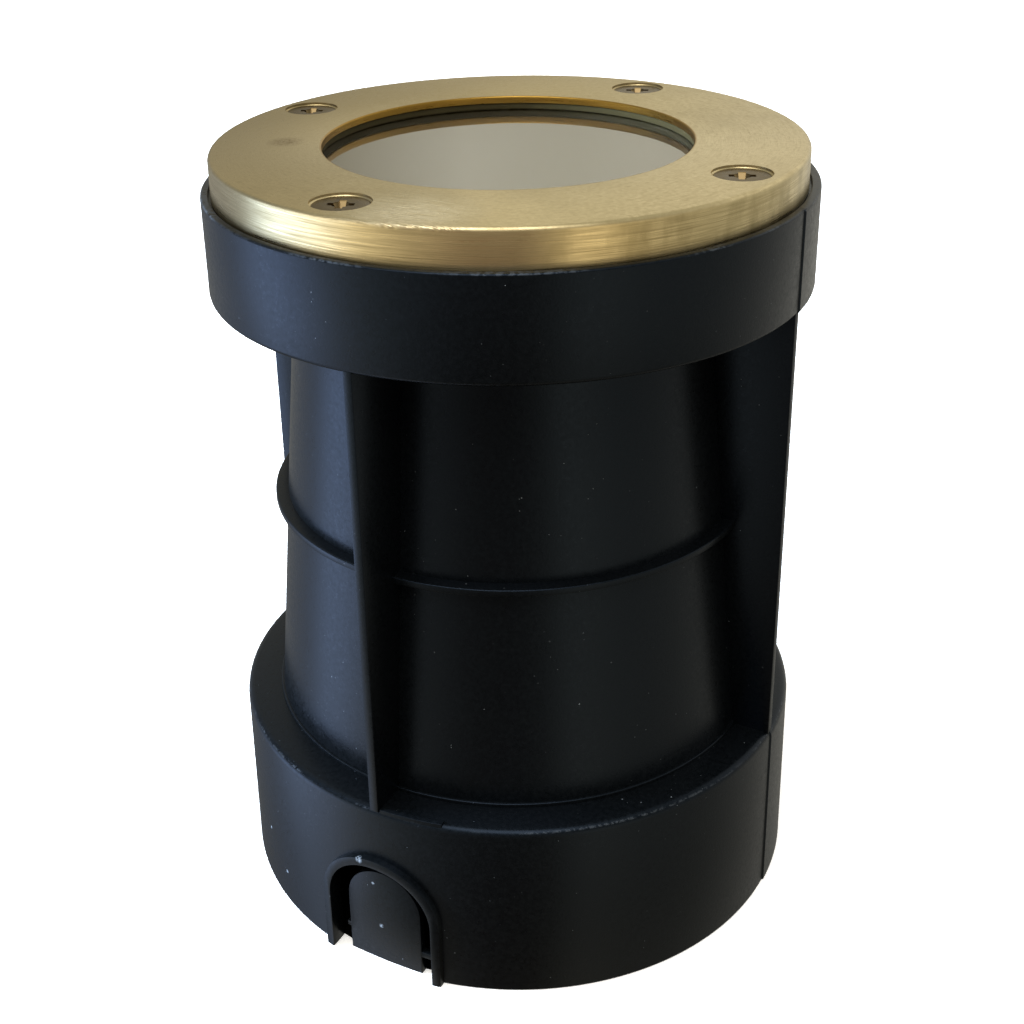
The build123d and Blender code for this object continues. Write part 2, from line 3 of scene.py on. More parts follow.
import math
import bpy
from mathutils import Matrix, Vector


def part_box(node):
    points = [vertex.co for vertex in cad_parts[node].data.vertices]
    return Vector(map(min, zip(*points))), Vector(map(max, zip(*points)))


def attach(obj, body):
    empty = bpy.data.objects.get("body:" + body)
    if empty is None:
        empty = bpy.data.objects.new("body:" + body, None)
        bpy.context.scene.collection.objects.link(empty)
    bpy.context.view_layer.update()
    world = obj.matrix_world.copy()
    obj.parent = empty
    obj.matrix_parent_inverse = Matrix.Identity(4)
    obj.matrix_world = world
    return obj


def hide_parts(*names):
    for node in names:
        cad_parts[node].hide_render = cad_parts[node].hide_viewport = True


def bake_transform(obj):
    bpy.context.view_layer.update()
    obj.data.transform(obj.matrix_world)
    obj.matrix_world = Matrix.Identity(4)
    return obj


bl_info = {
    "name": "In-ground well light",
    "version": (1, 0, 0),
    "blender": (4, 5, 0),
    "location": "View3D > Sidebar > Well light",
    "description": "Models and finishes an in-ground well light around its packed parts",
    "category": "Object",
}

from contextlib import contextmanager

import bmesh
import bpy
from bpy.props import FloatProperty, FloatVectorProperty, PointerProperty, StringProperty
from mathutils import Euler, Vector

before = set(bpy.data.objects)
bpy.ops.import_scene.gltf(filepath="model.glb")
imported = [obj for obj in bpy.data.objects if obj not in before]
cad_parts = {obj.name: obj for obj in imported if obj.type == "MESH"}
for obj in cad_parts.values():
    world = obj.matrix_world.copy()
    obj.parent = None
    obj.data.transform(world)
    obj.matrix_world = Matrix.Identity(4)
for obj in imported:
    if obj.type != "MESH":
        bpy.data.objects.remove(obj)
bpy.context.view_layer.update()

MM = 0.001
TURN_STEPS = 240  # faces round a large turned piece
SMALL_STEPS = 48  # faces round a screw-sized piece
SMOOTH_ANGLE = math.radians(35)
MERGE = 0.002 * MM  # corners nearer than this are one
FIXTURE_TURN = math.radians(-6.6)  # how the fixture stands in the sleeve in the photograph


# ---- sizes and colours
def length(name, description, default):
    return FloatProperty(name=name, description=description, default=default, unit="LENGTH")


def tint(name, description, default):
    return StringProperty(name=name, description=description, default=default)


class SleeveSizes(bpy.types.PropertyGroup):
    """Sizes of the moulded ground sleeve."""

    collar_radius: length("Collar radius", "Outside of the collar", 0.060)
    height: length("Height", "Ground end to collar rim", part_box("ground_sleeve")[1].z)
    collar_base: length("Collar base", "Level of the collar's underside", 0.132)
    skirt_height: length("Skirt height", "Ground end to the skirt's rim", 0.0395)
    wall: length("Wall", "Thickness of the moulding", 0.0022)
    hoop_level: length("Hoop level", "Level of the stiffening hoop", 0.0865)
    seam_step: length("Seam step", "How far the rear mould half stands proud at the parting line", 0.0003)


class CoverSizes(bpy.types.PropertyGroup):
    """Sizes of the brass cover, its lens and its screws."""

    radius: length("Radius", "Outside of the brass ring", 0.058)
    opening_radius: length("Opening radius", "Edge of the brass lip", 0.0361)
    top: length("Top", "Level of the ring's top face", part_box("cover_ring")[1].z)
    base: length("Base", "Level of the ring's underside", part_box("cover_ring")[0].z)
    edge_round: length("Edge round", "Rounding of the outer top edge", 0.0008)
    screw_circle: length("Screw circle", "Radius on which the screws stand", 0.0504)
    screw_turn: FloatProperty(
        name="Turn", description="Turn of the first screw about the axis",
        default=FIXTURE_TURN, subtype="ANGLE")


class Finishes(bpy.types.PropertyGroup):
    """Colours, as sRGB hex values."""

    brass: tint("Brass", "Brushed, unlacquered brass", "#e4d4aa")
    # the film's colour, which also serves as painted shade on the brass face
    tarnish_and_shade: tint("Tarnish", "Thin brown film on the brass", "#b0a078")
    bronze: tint("Screw bronze", "Darkened brass of the screws", "#54442a")
    plastic: tint("Sleeve plastic", "Black moulded plastic", "#06080a")
    dust: tint("Dust", "Pale dust and scuffs on the plastic", "#8f98a2")
    rubber: tint("Rubber", "Dark gasket rubber", "#3d3826")
    glass: tint("Glass", "Tint of the toughened lens", "#f6f3ea")


class StageLook(bpy.types.PropertyGroup):
    """Floor, light and camera."""

    floor_colour: tint("Floor", "Pale studio floor", "#fafafa")
    camera_place: FloatVectorProperty(
        name="Camera place", description="Where the photograph was taken from",
        default=(0.138348, -0.260194, 0.233418), subtype="TRANSLATION", unit="LENGTH")
    camera_turn: FloatVectorProperty(
        name="Camera turn", description="How the camera is held",
        default=(math.radians(65.845), math.radians(1.551), math.radians(29.321)), subtype="EULER")
    lens: FloatProperty(
        name="Focal length", description="Focal length in mm on a 36 mm wide frame", default=54.01)


# ---- small helpers
def srgb(code):
    """A hex colour as linear light."""
    parts = [int(code[i:i + 2], 16) / 255 for i in (1, 3, 5)]
    return tuple(p / 12.92 if p <= 0.04045 else ((p + 0.055) / 1.055) ** 2.4 for p in parts) + (1.0,)


def fill(tree, node, inputs):
    """Sets a node's inputs, each from a value or from a socket to link."""
    for name, value in inputs.items():
        if isinstance(value, bpy.types.NodeSocket):
            tree.links.new(value, node.inputs[name])
        else:
            node.inputs[name].default_value = value


def add_node(tree, kind, inputs=None, **settings):
    """Adds a node with its settings and inputs."""
    node = tree.nodes.new(kind)
    for name, value in settings.items():
        setattr(node, name, value)
    fill(tree, node, inputs or {})
    return node


def deselect():
    if bpy.context.object and bpy.context.object.mode != "OBJECT":
        bpy.ops.object.mode_set(mode="OBJECT")
    bpy.ops.object.select_all(action="DESELECT")


def activate(piece):
    deselect()
    piece.select_set(True)
    bpy.context.view_layer.objects.active = piece


@contextmanager
def editing(piece, picked=None, of="verts"):
    """Edit mode on a piece, with all of it selected, or only the elements that pass a test."""
    activate(piece)
    bpy.ops.object.mode_set(mode="EDIT")
    bpy.ops.mesh.select_mode(type=of[:4].upper())
    bpy.ops.mesh.select_all(action="DESELECT" if picked else "SELECT")
    if picked:
        work = bmesh.from_edit_mesh(piece.data)
        for element in getattr(work, of):
            element.select_set(picked(element))
        work.select_flush_mode()
        bmesh.update_edit_mesh(piece.data)
    yield
    bpy.ops.object.mode_set(mode="OBJECT")


def tidy_mesh():
    """Merges corners that meet and turns faces outward, over the whole mesh in edit mode."""
    bpy.ops.mesh.select_all(action="SELECT")
    bpy.ops.mesh.remove_doubles(threshold=MERGE)
    bpy.ops.mesh.normals_make_consistent(inside=False)


def fresh_piece(name):
    """The piece just added, with its place and size put into its mesh."""
    piece = bpy.context.object
    bpy.ops.object.transform_apply(location=True, rotation=True, scale=True)
    piece.name = piece.data.name = name
    return piece


def eased(outline, steps):
    """Outline points, with each corner that has a third number rounded to that radius."""
    points = []
    for i, corner in enumerate(outline):
        here = Vector(corner[:2])
        if len(corner) < 3:
            points.append(here)
            continue
        before = (Vector(outline[i - 1][:2]) - here).normalized()
        after = (Vector(outline[(i + 1) % len(outline)][:2]) - here).normalized()
        half = before.angle(after) / 2
        centre = here + (before + after).normalized() * corner[2] / math.sin(half)
        reach = corner[2] / math.tan(half)
        start = here + before * reach - centre
        end = here + after * reach - centre
        sweep = start.angle(end)
        for step in range(steps + 1):
            share = step / steps
            arm = start * math.sin((1 - share) * sweep) + end * math.sin(share * sweep)
            points.append(centre + arm / math.sin(sweep))
    return points


def turned(name, outline, steps=TURN_STEPS, ring=True, centre=(0, 0), ease=4):
    """A body turned about an upright axis: a circle extruded from point to point of its outline.

    The outline runs in metres as (radius, level); a ring closes on its first point, a solid is
    capped below and left open above."""
    deselect()
    points = eased(outline, ease)
    if ring:
        points.append(points[0])
    radius, level = points[0]
    bpy.ops.mesh.primitive_circle_add(
        vertices=steps, radius=radius, location=(*centre, level), fill_type="NOTHING" if ring else "NGON")
    piece = fresh_piece(name)
    with editing(piece, of="edges"):
        for (r0, z0), (r1, z1) in zip(points, points[1:]):
            bpy.ops.mesh.extrude_region_move()
            share = r1 / r0
            bpy.ops.transform.resize(value=(share, share, 1), center_override=(*centre, z0))
            bpy.ops.transform.translate(value=(0, 0, z1 - z0))
        tidy_mesh()
    return piece


def turned_solid(name, outline, **settings):
    """A turned body without a bore, closed at the top too."""
    piece = turned(name, outline, ring=False, **settings)
    with editing(piece, lambda edge: edge.is_boundary, "edges"):
        bpy.ops.mesh.edge_face_add()
        bpy.ops.mesh.select_all(action="SELECT")
        bpy.ops.mesh.normals_make_consistent(inside=False)
    return piece


def brick(name, low, high):
    """A box between two corners, with its place in its mesh."""
    deselect()
    low, high = Vector(low), Vector(high)
    bpy.ops.mesh.primitive_cube_add(size=1, location=(low + high) / 2)
    bpy.context.object.scale = high - low
    return fresh_piece(name)


def turn_piece(piece, angle):
    """Turns a piece's mesh about the part's axis."""
    with editing(piece):
        bpy.ops.transform.rotate(value=-angle, orient_axis="Z", center_override=(0, 0, 0))


def finish_modifier(piece, kind, **settings):
    """Adds a modifier and applies it."""
    activate(piece)
    modifier = piece.modifiers.new(kind.title(), kind)
    for name, value in settings.items():
        setattr(modifier, name, value)
    bpy.ops.object.modifier_apply(modifier=modifier.name)


def cut(piece, tool, operation="DIFFERENCE"):
    """Cuts, joins or keeps what two closed pieces share, and removes the tool."""
    finish_modifier(piece, "BOOLEAN", object=tool, operation=operation, solver="EXACT")
    bpy.data.objects.remove(tool)


def soften(piece, width):
    """Rounds a piece's sharp edges."""
    finish_modifier(
        piece, "BEVEL", width=width, segments=2, limit_method="ANGLE",
        angle_limit=math.radians(40), harden_normals=False)


def join(pieces, name):
    """Several meshes as one piece."""
    deselect()
    for piece in pieces:
        piece.select_set(True)
    bpy.context.view_layer.objects.active = pieces[0]
    bpy.ops.object.join()
    pieces[0].name = pieces[0].data.name = name
    return pieces[0]


def add_object(name, data):
    """An object that holds the given mesh, curve, lamp or camera."""
    thing = bpy.data.objects.new(name, data)
    bpy.context.collection.objects.link(thing)
    return thing


def copies_round(piece, count, start=0.0):
    """Copies of a piece evenly about the axis, each with its own mesh; the first is the piece itself."""
    made = [piece]
    for i in range(1, count):
        twin = add_object(piece.name, piece.data.copy())
        turn_piece(twin, 2 * math.pi * i / count)
        made.append(twin)
    if start:
        for each in made:
            turn_piece(each, start)
    return made


def paint(piece, material):
    """Smooths a finished piece and gives it one material."""
    activate(piece)
    bpy.ops.object.shade_smooth_by_angle(angle=SMOOTH_ANGLE)
    piece.data.materials.clear()
    piece.data.materials.append(material)


def settle(piece, body, material, stands_for):
    """Paints a finished piece and fixes it to the body it moves with."""
    paint(piece, material)
    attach(piece, body)
    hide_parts(stands_for)


# ---- shader nodes
def calc(tree, operation, *values):
    """The result of a Math node."""
    return add_node(tree, "ShaderNodeMath", dict(enumerate(values)), operation=operation).outputs[0]


def product(tree, first, *others):
    """Several numbers multiplied."""
    for other in others:
        first = calc(tree, "MULTIPLY", first, other)
    return first


def highest(tree, first, *others):
    """The highest of several numbers."""
    for other in others:
        first = calc(tree, "MAXIMUM", first, other)
    return first


def vector_calc(tree, operation, *values, result=0, **named):
    """A result of a Vector Math node: its vector, or its number when that is called Value."""
    inputs = {**dict(enumerate(values)), **named}
    return add_node(tree, "ShaderNodeVectorMath", inputs, operation=operation).outputs[result]


def axes(tree, vector):
    """A vector's X, Y and Z."""
    return add_node(tree, "ShaderNodeSeparateXYZ", {"Vector": vector}).outputs


def object_place(tree):
    return add_node(tree, "ShaderNodeTexCoord").outputs["Object"]


def noise(tree, vector, scale=1.0, detail=2.0, roughness=0.5):
    return add_node(tree, "ShaderNodeTexNoise", {
        "Vector": vector, "Scale": scale, "Detail": detail, "Roughness": roughness}).outputs["Fac"]


def ramp(tree, factor, stops):
    """A colour ramp from (place, hex colour) stops."""
    node = add_node(tree, "ShaderNodeValToRGB", {"Fac": factor})
    elements = node.color_ramp.elements
    while len(elements) < len(stops):
        elements.new(0.5)
    for element, (place, code) in zip(elements, stops):
        element.position = place
        element.color = srgb(code)
    return node.outputs["Color"]


def map_range(tree, value, low, high, to_low=0.0, to_high=1.0):
    return add_node(tree, "ShaderNodeMapRange", {
        "Value": value, "From Min": low, "From Max": high, "To Min": to_low, "To Max": to_high}).outputs[0]


def mix(tree, factor, first, second):
    """A colour between two others."""
    inputs = {0: factor, 6: first, 7: second}
    return add_node(tree, "ShaderNodeMix", inputs, data_type="RGBA").outputs[2]


def scalar_mix(tree, factor, first, second):
    """A number between two others."""
    return add_node(tree, "ShaderNodeMix", {0: factor, 2: first, 3: second}).outputs[0]


def bump(tree, height, strength, depth_mm, **inputs):
    """A normal that a height pattern disturbs."""
    inputs.update(Height=height, Strength=strength, Distance=depth_mm * MM)
    return add_node(tree, "ShaderNodeBump", inputs).outputs[0]


def spot(tree, place, centre_mm, radius_mm):
    """One at a point of the piece, falling to nothing at a radius."""
    centre, radius = [c * MM for c in centre_mm], radius_mm * MM
    away = vector_calc(tree, "DISTANCE", place, centre, result="Value")
    return map_range(tree, away, radius, 0.2 * radius)


def grain_vector(tree, place, length_mm, width_mm):
    """Coordinates that stretch a pattern round the Z axis, as turning or circular brushing leaves it."""
    parts = axes(tree, place)
    flat = add_node(tree, "ShaderNodeCombineXYZ", {"X": parts["X"], "Y": parts["Y"]}).outputs[0]
    radius = vector_calc(tree, "LENGTH", flat, result="Value")
    around = vector_calc(tree, "NORMALIZE", flat)
    around = vector_calc(tree, "SCALE", around, Scale=BRUSHED_RADIUS_MM / length_mm)
    across = product(tree, calc(tree, "ADD", radius, parts["Z"]), 1 / (width_mm * MM))
    lift = add_node(tree, "ShaderNodeCombineXYZ", {"Z": across}).outputs[0]
    return vector_calc(tree, "ADD", around, lift)


# ---- materials
COVER_TOP_MM = 159.2
BRUSHED_RADIUS_MM = 50  # where the brushed grain has its true length
GLASS_IOR = 1.52


def new_material(name):
    material = bpy.data.materials.new(name)
    material.use_nodes = True
    tree = material.node_tree
    tree.nodes.clear()
    output = add_node(tree, "ShaderNodeOutputMaterial")
    shader = add_node(tree, "ShaderNodeBsdfPrincipled")
    tree.links.new(shader.outputs[0], output.inputs["Surface"])
    return material, tree, shader


def brushed_brass(look):
    """Brass brushed round its axis, not lacquered: fine grain, uneven sheen, a faint brown film, with painted
    shade on the face's left and back, on one side of the turned edge and in the bore, and a painted highlight
    beside the front screw.

    The turned edge keeps long clear strokes, while the face above is finer and duller."""
    material, tree, shader = new_material("brushed_brass")
    place = object_place(tree)
    edge = map_range(tree, axes(tree, place)["Z"], 158.8 * MM, 158.2 * MM)
    face = map_range(tree, edge, 0, 1, 1, 0)
    strokes = noise(tree, grain_vector(tree, place, 11, 0.26), 1, 3, 0.65)
    fine = noise(tree, grain_vector(tree, place, 3.5, 0.16), 1, 2)
    bead = noise(tree, place, 1 / (0.9 * MM), 3, 0.6)
    grain = scalar_mix(tree, edge, scalar_mix(tree, 0.5, fine, bead), strokes)
    # a thin film in clouds, and painted shade that darkens the face towards its left and back
    cloud = map_range(tree, noise(tree, place, 1 / (22 * MM), 3, 0.6), 0.45, 0.75, 0.0, 0.4)
    side = vector_calc(tree, "DOT_PRODUCT", place, (-0.92, 0.39, 0), result="Value")
    side = product(tree, map_range(tree, side, -5 * MM, 45 * MM), face)
    colour = mix(tree, highest(tree, cloud, side), srgb(look.brass), srgb(look.tarnish_and_shade))
    # painted highlight beside the front screw: near-white straight streaks where the face catches the window,
    # also bumped as fine scratches
    slant = add_node(tree, "ShaderNodeMapping", {
        "Vector": place, "Rotation": (0, 0, math.radians(-38)),
        "Scale": (1 / (7 * MM), 1 / (0.3 * MM), 0)}).outputs[0]
    scratch_highlight = product(
        tree, spot(tree, place, (7.5, -51.0, COVER_TOP_MM), 15), face,
        map_range(tree, noise(tree, slant, 1, 2), 0.35, 0.6, 0.25, 1.0))
    colour = mix(tree, scratch_highlight, colour, srgb("#fff6dc"))
    # brown patina blotches on the turned edge, kept to the side away from the window: partly patina, partly
    # painted shade on that side
    bearing = vector_calc(tree, "DOT_PRODUCT", place, (0.97, 0.24, 0), result="Value")
    patina_and_shade = add_node(tree, "ShaderNodeMapping", {
        "Vector": place, "Scale": (1 / (5 * MM), 1 / (5 * MM), 1 / (12 * MM))}).outputs[0]
    patina_and_shade = map_range(tree, noise(tree, patina_and_shade, 1, 3, 0.6), 0.42, 0.68, 0.0, 0.5)
    patina_and_shade = product(tree, patina_and_shade, map_range(tree, bearing, 5 * MM, 38 * MM), edge)
    colour = mix(tree, patina_and_shade, colour, srgb("#6f6236"))
    streak = map_range(tree, grain, 0.35, 0.68, 0.0, map_range(tree, edge, 0, 1, 0.5, 0.8))
    colour = mix(tree, streak, colour, srgb(look.tarnish_and_shade))
    # a thumb's smudge at the left
    smudge = product(
        tree, spot(tree, place, (-38.5, -20.2, COVER_TOP_MM), 4.2),
        map_range(tree, bead, 0.3, 0.6, 0.15, 0.9))
    colour = mix(tree, smudge, colour, srgb("#7a5f1c"))
    # painted shade: the bore is a deeper, darker gold, standing in for the darker room that it mirrors
    flat = vector_calc(tree, "MULTIPLY", place, (1, 1, 0))
    lip = map_range(tree, vector_calc(tree, "LENGTH", flat, result="Value"), 36.6 * MM, 36.3 * MM)
    colour = mix(tree, lip, colour, srgb("#ad8a42"))
    relief = bump(tree, grain, map_range(tree, edge, 0, 1, 0.22, 0.6), 0.06)
    relief = bump(tree, scratch_highlight, 1.0, 0.25, Normal=relief)
    tangent = add_node(tree, "ShaderNodeTangent", direction_type="RADIAL", axis="Z").outputs[0]
    fill(tree, shader, {
        "Base Color": colour, "Metallic": 1.0, "Normal": relief,
        "Roughness": map_range(tree, grain, 0.3, 0.7, 0.24, 0.44),
        "Anisotropic": 0.7, "Anisotropic Rotation": 0.25,  # gloss spreads across the grain
        "Tangent": tangent})
    return material


def bronzed_brass(look):
    """Darkened brass screws: brown, satin, and lighter in the recess, partly worn bare by the driver and
    partly a painted highlight of the glints on its edges.
    """
    material, tree, shader = new_material("bronzed_brass")
    place = object_place(tree)
    patch = noise(tree, place, 1 / (1.6 * MM), 3, 0.6)
    # the recess is lighter brass: partly driver wear, partly a painted highlight of its glints
    recess = map_range(tree, axes(tree, place)["Z"], 158.62 * MM, 158.5 * MM)
    film = map_range(tree, patch, 0.35, 0.7, 0.0, 0.25)
    colour = mix(tree, film, srgb(look.bronze), srgb(look.tarnish_and_shade))
    fill(tree, shader, {
        "Base Color": mix(tree, recess, colour, srgb("#7f6e50")), "Metallic": 1.0,
        "Roughness": scalar_mix(tree, recess, map_range(tree, patch, 0.3, 0.7, 0.22, 0.4), 0.26)})
    return material


SPECKS = ((4.2, 0.05, 0.75), (2.1, 0.07, 0.80), (1.2, 0.09, 0.86))  # pitch in mm, reach, share without


def moulded_plastic(name, colour, dust, roughness=0.32, rims=(), chips=()):
    """Black moulded plastic: fine spark texture, cloudy sheen, a few dust specks, scuffed rims, and a painted
    cool blue tint in its reflections.
    """
    material, tree, shader = new_material(name)
    place = object_place(tree)
    texture = noise(tree, place, 1 / (0.45 * MM), 2, 0.6)  # coarser than real, so that it shows
    cloud = noise(tree, place, 1 / (0.9 * MM), 3, 0.65)
    drift = noise(tree, place, 1 / (16 * MM), 2, 0.5)
    specks = []
    for pitch, reach, share in SPECKS:
        cell = add_node(tree, "ShaderNodeTexVoronoi", {"Vector": place, "Scale": 1 / (pitch * MM)}).outputs
        pick = add_node(tree, "ShaderNodeSeparateColor", {"Color": cell["Color"]}).outputs[0]
        specks.append(product(
            tree, map_range(tree, cell["Distance"], reach, 0.5 * reach),
            map_range(tree, pick, share, share + 0.1)))
    marks = [
        product(tree, highest(tree, *specks), map_range(tree, drift, 0.4, 0.6, 0.1, 0.9)),
        map_range(tree, cloud, 0.42, 0.75, 0.0, 0.006)]
    level = axes(tree, place)["Z"]
    for rim_mm in rims:  # a line of scuffs where a rim gets knocked
        away = calc(tree, "ABSOLUTE", calc(tree, "SUBTRACT", level, rim_mm * MM))
        marks.append(product(
            tree, map_range(tree, away, 0.22 * MM, 0.06 * MM),
            map_range(tree, drift, 0.45, 0.62, 0.0, 0.14), map_range(tree, cloud, 0.45, 0.55)))
    for centre, radius in chips:  # pale chips and grit, one by one
        marks.append(product(
            tree, spot(tree, place, centre, radius), map_range(tree, texture, 0.35, 0.5)))
    # the reflections carry a cool blue Specular Tint: painted colour of the cool window light
    fill(tree, shader, {
        "Base Color": mix(tree, highest(tree, *marks), srgb(colour), srgb(dust)),
        "Roughness": map_range(tree, cloud, 0.3, 0.7, roughness - 0.06, roughness + 0.08),
        "Normal": bump(tree, texture, 0.35, 0.05),
        "IOR": 1.5, "Specular IOR Level": 0.33, "Specular Tint": srgb("#a9c6f4")})
    return material


def gasket_rubber(look):
    """Dark olive-black rubber, dull, with a slightly worn face."""
    material, tree, shader = new_material("gasket_rubber")
    patch = noise(tree, object_place(tree), 1 / (1.5 * MM), 3)
    fill(tree, shader, {
        "Base Color": mix(tree, patch, srgb(look.rubber), srgb("#464029")),
        "Roughness": 0.7, "Specular IOR Level": 0.15})
    return material


def etched_glass():
    """The etched underside of the lens, which spreads the beam and hides the inside."""
    material, tree, shader = new_material("etched_glass")
    grain = noise(tree, object_place(tree), 1 / (0.6 * MM), 3)
    fill(tree, shader, {
        "Base Color": mix(tree, grain, srgb("#6b6656"), srgb("#625d4d")),
        "Roughness": 0.6, "IOR": GLASS_IOR, "Transmission Weight": 0.5})
    return material


def toughened_glass(look, name="toughened_glass", coat=0.0):
    """Polished soda-lime glass; the lens has a thin mirror coat that sheds heat, so it shows the room."""
    material, tree, shader = new_material(name)
    fill(tree, shader, {
        "Base Color": srgb(look.glass), "Metallic": coat, "Roughness": 0.02, "IOR": GLASS_IOR,
        "Transmission Weight": 1.0})
    return material


def plain_metal(name, colour, roughness):
    """Bare or plated metal with a faint uneven sheen."""
    material, tree, shader = new_material(name)
    sheen = noise(tree, object_place(tree), 1 / (0.8 * MM), 3)
    fill(tree, shader, {
        "Base Color": srgb(colour), "Metallic": 1.0,
        "Roughness": map_range(tree, sheen, 0.3, 0.7, roughness - 0.07, roughness + 0.07)})
    return material


def faceted_mirror():
    """Dichroic mirror on the pressed facets of the lamp's bowl."""
    material, tree, shader = new_material("faceted_dichroic_mirror")
    parts = axes(tree, object_place(tree))
    bearing = calc(tree, "ARCTAN2", parts["Y"], parts["X"])
    waves = [
        calc(tree, "ABSOLUTE", calc(tree, "SINE", product(tree, value, pitch)))
        for value, pitch in ((bearing, 16.0), (parts["Z"], math.pi / (2.6 * MM)))]
    fill(tree, shader, {
        "Base Color": srgb("#dcdae4"), "Metallic": 1.0, "Roughness": 0.12,
        "Normal": bump(tree, calc(tree, "ADD", *waves), 0.8, 0.25)})
    return material


def plain_moulding(name, colour, roughness):
    """Moulded, glazed or extruded material with a fine surface."""
    material, tree, shader = new_material(name)
    texture = noise(tree, object_place(tree), 1 / (0.6 * MM), 2)
    fill(tree, shader, {
        "Base Color": srgb(colour), "Normal": bump(tree, texture, 0.2, 0.03),
        "Roughness": map_range(tree, texture, 0.3, 0.7, roughness - 0.05, roughness + 0.05)})
    return material


# ---- ground sleeve
FIN_THICK = 2.0 * MM
FIN_RADIUS = 59.9 * MM
BARREL_FOOT = 52.1 * MM
BARREL_TOP = 43.5 * MM
SKIRT_FLARE = 0.3 * MM
SEAM_BAND = 0.2 * MM  # width over which the mould step rises
SEAM_REACH = 58.9 * MM  # only the walls outside this radius step
RIM_BORE = 58.5 * MM  # rebate in the collar's rim
COLLAR_BORE = 56.0 * MM
HOOD_OUTER = 13.7 * MM
HOOD_INNER = 11.9 * MM
HOOD_CENTRE = 14.1 * MM
HOOD_FRONT = 61.5 * MM
PANEL_HALF = 8.5 * MM
PANEL_FACE = 58.7 * MM
PANEL_THICK = 1.5 * MM
CHIPS = (  # where the photograph shows pale marks, in mm, and how far each reaches
    ((-9.4, -60.8, 25.0), 0.55), ((-3.4, -61.3, 26.9), 0.9), ((-2.9, -61.4, 28.2), 0.45),
    ((-34.6, -49.2, 14.4), 0.5), ((-28.1, -53.2, 7.9), 0.5), ((-2.2, -58.8, 19.4), 0.45),
    ((-0.7, -58.7, 8.9), 0.6))


def barrel_radius(sizes, level):
    share = (level - sizes.skirt_height) / (sizes.collar_base - sizes.skirt_height)
    return BARREL_FOOT + share * (BARREL_TOP - BARREL_FOOT)


def sleeve_shell(sizes):
    """Collar, tapered barrel with its hoop, and skirt, turned as one wall."""
    top, rim, base, wall = sizes.height, sizes.skirt_height, sizes.collar_base, sizes.wall
    outer = sizes.collar_radius
    hoop = barrel_radius(sizes, sizes.hoop_level) + 2.6 * MM
    hoop_low, hoop_high = sizes.hoop_level - 0.7 * MM, sizes.hoop_level + 0.7 * MM
    weld, weld_top = BARREL_FOOT + 0.5 * MM, rim + 0.8 * MM
    under = rim - wall
    return turned("ground_sleeve_moulding", [
        (outer + SKIRT_FLARE, 0, 0.4 * MM),
        (outer, rim, 1.5 * MM),
        (weld, rim),
        (weld, weld_top, 0.25 * MM),
        (barrel_radius(sizes, weld_top), weld_top),
        (barrel_radius(sizes, hoop_low), hoop_low),
        (hoop, hoop_low, 0.2 * MM),
        (hoop, hoop_high, 0.35 * MM),
        (barrel_radius(sizes, hoop_high), hoop_high),
        (BARREL_TOP, base),
        (outer, base, 1.0 * MM),
        (outer, top, 0.45 * MM),
        (RIM_BORE, top, 0.2 * MM),
        (RIM_BORE, top - 0.8 * MM),
        (COLLAR_BORE, top - 0.8 * MM, 0.2 * MM),
        (COLLAR_BORE, base + wall),
        (BARREL_TOP - wall, base + wall, 0.4 * MM),
        (barrel_radius(sizes, under) - wall, under, 0.4 * MM),
        (outer - wall, under),
        (outer + SKIRT_FLARE - wall, 0, 0.3 * MM),
    ])


def part_line(shell, step):
    """Lets the rear mould half stand proud of the front one, from the parting line at either side."""
    with editing(shell):
        for place in (0, SEAM_BAND):
            bpy.ops.mesh.select_all(action="SELECT")
            bpy.ops.mesh.bisect(plane_co=(0, place, 0), plane_no=(0, 1, 0))
    share = 1 + step / (60 * MM)
    with editing(shell, lambda corner: corner.co.y > SEAM_BAND / 2 and corner.co.xy.length > SEAM_REACH):
        bpy.ops.transform.resize(value=(share, share, 1), center_override=(0, 0, 0))


def mould_flash(sizes):
    """A sliver of flash left on the skirt's rim beside the front fin."""
    rim = sizes.skirt_height
    flash = turned("flash", [
        (59.7 * MM, rim - 1.2 * MM), (59.7 * MM, rim + 0.25 * MM, 0.1 * MM),
        (58.6 * MM, rim + 0.45 * MM, 0.15 * MM), (58.2 * MM, rim - 1.2 * MM)])
    stretch = brick("stretch", (1.3 * MM, -62 * MM, rim - 3 * MM), (14.2 * MM, -50 * MM, rim + 3 * MM))
    cut(flash, stretch, "INTERSECT")
    return flash


def arch_tool(half_width, depth):
    """An upright arched prism through the skirt on the -Y side."""
    deselect()
    bpy.ops.mesh.primitive_cylinder_add(
        vertices=96, radius=half_width, depth=depth,
        location=(0, -60 * MM, HOOD_CENTRE), rotation=(math.pi / 2, 0, 0))
    tool = fresh_piece("arch")
    with editing(tool, lambda corner: corner.co.z < HOOD_CENTRE - MERGE):
        bpy.ops.transform.resize(value=(1, 1, 0), center_override=(0, 0, HOOD_CENTRE))
        bpy.ops.transform.translate(value=(0, 0, -HOOD_CENTRE - 2 * MM))
    return tool


def entry_hood(sizes):
    """The arched rib that stands proud round a cable entry."""
    crown, inner = HOOD_CENTRE + HOOD_OUTER + MM, sizes.collar_radius - sizes.wall - 0.2 * MM
    band = turned("hood_band", [(HOOD_FRONT, 0), (HOOD_FRONT, crown), (inner, crown), (inner, 0)])
    hood = arch_tool(HOOD_OUTER, 20 * MM)
    cut(hood, arch_tool(HOOD_INNER, 24 * MM))
    cut(hood, band, "INTERSECT")
    soften(hood, 0.28 * MM)
    return hood


